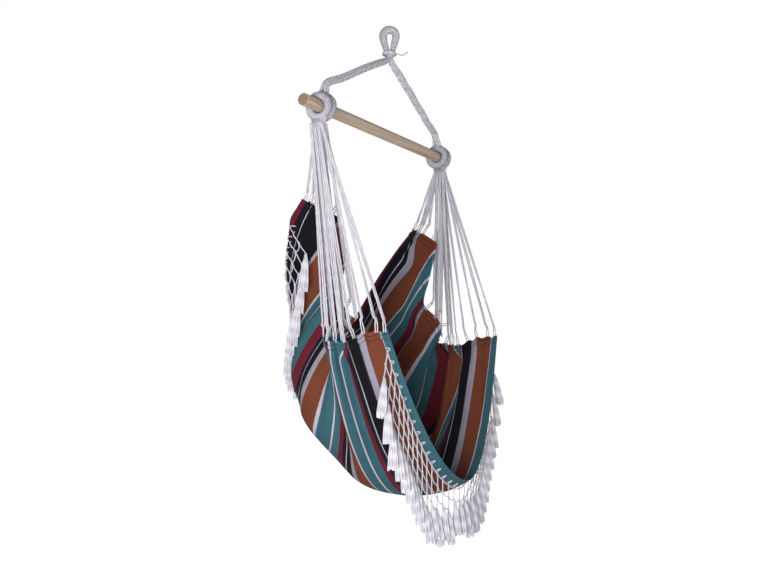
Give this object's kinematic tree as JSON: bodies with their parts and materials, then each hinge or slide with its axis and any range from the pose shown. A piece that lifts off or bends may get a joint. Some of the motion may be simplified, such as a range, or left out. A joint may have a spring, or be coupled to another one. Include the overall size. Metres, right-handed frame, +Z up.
{
  "type": "hammock chair",
  "caption": "Hanging cotton hammock chair for one person: a striped sling seat with net fringes, hung by cords from a wooden spreader bar and one rope eye.",
  "frame": {"origin": "the point inside the hanging eye that bears on its hook", "axes": "+Z up, +X along the spreader bar towards the sitter's left, -Y the way the chair faces"},
  "size_m": [1.0153, 0.5196, 1.6529],
  "materials": {
    "whipped_rope": "off-white cotton cord, close-wound",
    "bar_wood": "pale wood, clear satin finish",
    "striped_cloth": "woven cotton, striped brown, burgundy, navy, teal and grey-white",
    "seat_cord": "off-white twisted cotton cord",
    "net_cord": "off-white knotted cotton net"
  },
  "bodies": {
    "eye": {"hanging_eye": "whipped_rope"},
    "neck": {"neck_binding": "whipped_rope", "binding_tail": "whipped_rope"},
    "suspension": {"suspension_leg_right": "whipped_rope", "suspension_leg_left": "whipped_rope", "upper_ring_right": "whipped_rope", "upper_ring_left": "whipped_rope"},
    "seat": {"lower_ring_right": "whipped_rope", "lower_ring_left": "whipped_rope", "seat_cloth": "striped_cloth", "front_fringe": "net_cord", "back_fringe": "net_cord", "hem_cord_right": "seat_cord", "hem_cord_left": "seat_cord", "string_right_01": "seat_cord", "string_right_02": "seat_cord", "string_right_03": "seat_cord", "string_right_04": "seat_cord", "string_right_05": "seat_cord", "string_right_06": "seat_cord", "string_right_07": "seat_cord", "string_right_08": "seat_cord", "string_right_09": "seat_cord", "string_right_10": "seat_cord", "string_right_11": "seat_cord", "string_right_12": "seat_cord", "string_right_13": "seat_cord", "string_right_14": "seat_cord", "string_right_15": "seat_cord", "string_right_16": "seat_cord", "string_right_17": "seat_cord", "string_right_18": "seat_cord", "string_right_19": "seat_cord", "string_right_20": "seat_cord", "string_left_01": "seat_cord", "string_left_02": "seat_cord", "string_left_03": "seat_cord", "string_left_04": "seat_cord", "string_left_05": "seat_cord", "string_left_06": "seat_cord", "string_left_07": "seat_cord", "string_left_08": "seat_cord", "string_left_09": "seat_cord", "string_left_10": "seat_cord", "string_left_11": "seat_cord", "string_left_12": "seat_cord", "string_left_13": "seat_cord", "string_left_14": "seat_cord", "string_left_15": "seat_cord", "string_left_16": "seat_cord", "string_left_17": "seat_cord", "string_left_18": "seat_cord", "string_left_19": "seat_cord", "string_left_20": "seat_cord"},
    "bar": {"spreader_bar": "bar_wood"}
  },
  "joints": [
    {"name": "neck_twist", "type": "hinge", "parent": "eye", "child": "neck", "pos_m": [0, 0, -0.066], "axis": [0, 0, 1], "range_deg": [-90, 90]},
    {"name": "fore_and_aft_swing", "type": "hinge", "parent": "neck", "child": "suspension", "pos_m": [0, 0, -0.0844], "axis": [1, 0, 0], "range_deg": [-25, 25]},
    {"name": "seat_rock", "type": "hinge", "parent": "suspension", "child": "seat", "pos_m": [0, 0, -0.334], "axis": [1, 0, 0], "range_deg": [-20, 20]},
    {"name": "bar_slide", "type": "slide", "parent": "seat", "child": "bar", "axis": [1, 0, 0], "range_m": [-0.024, 0.06]}
  ]
}
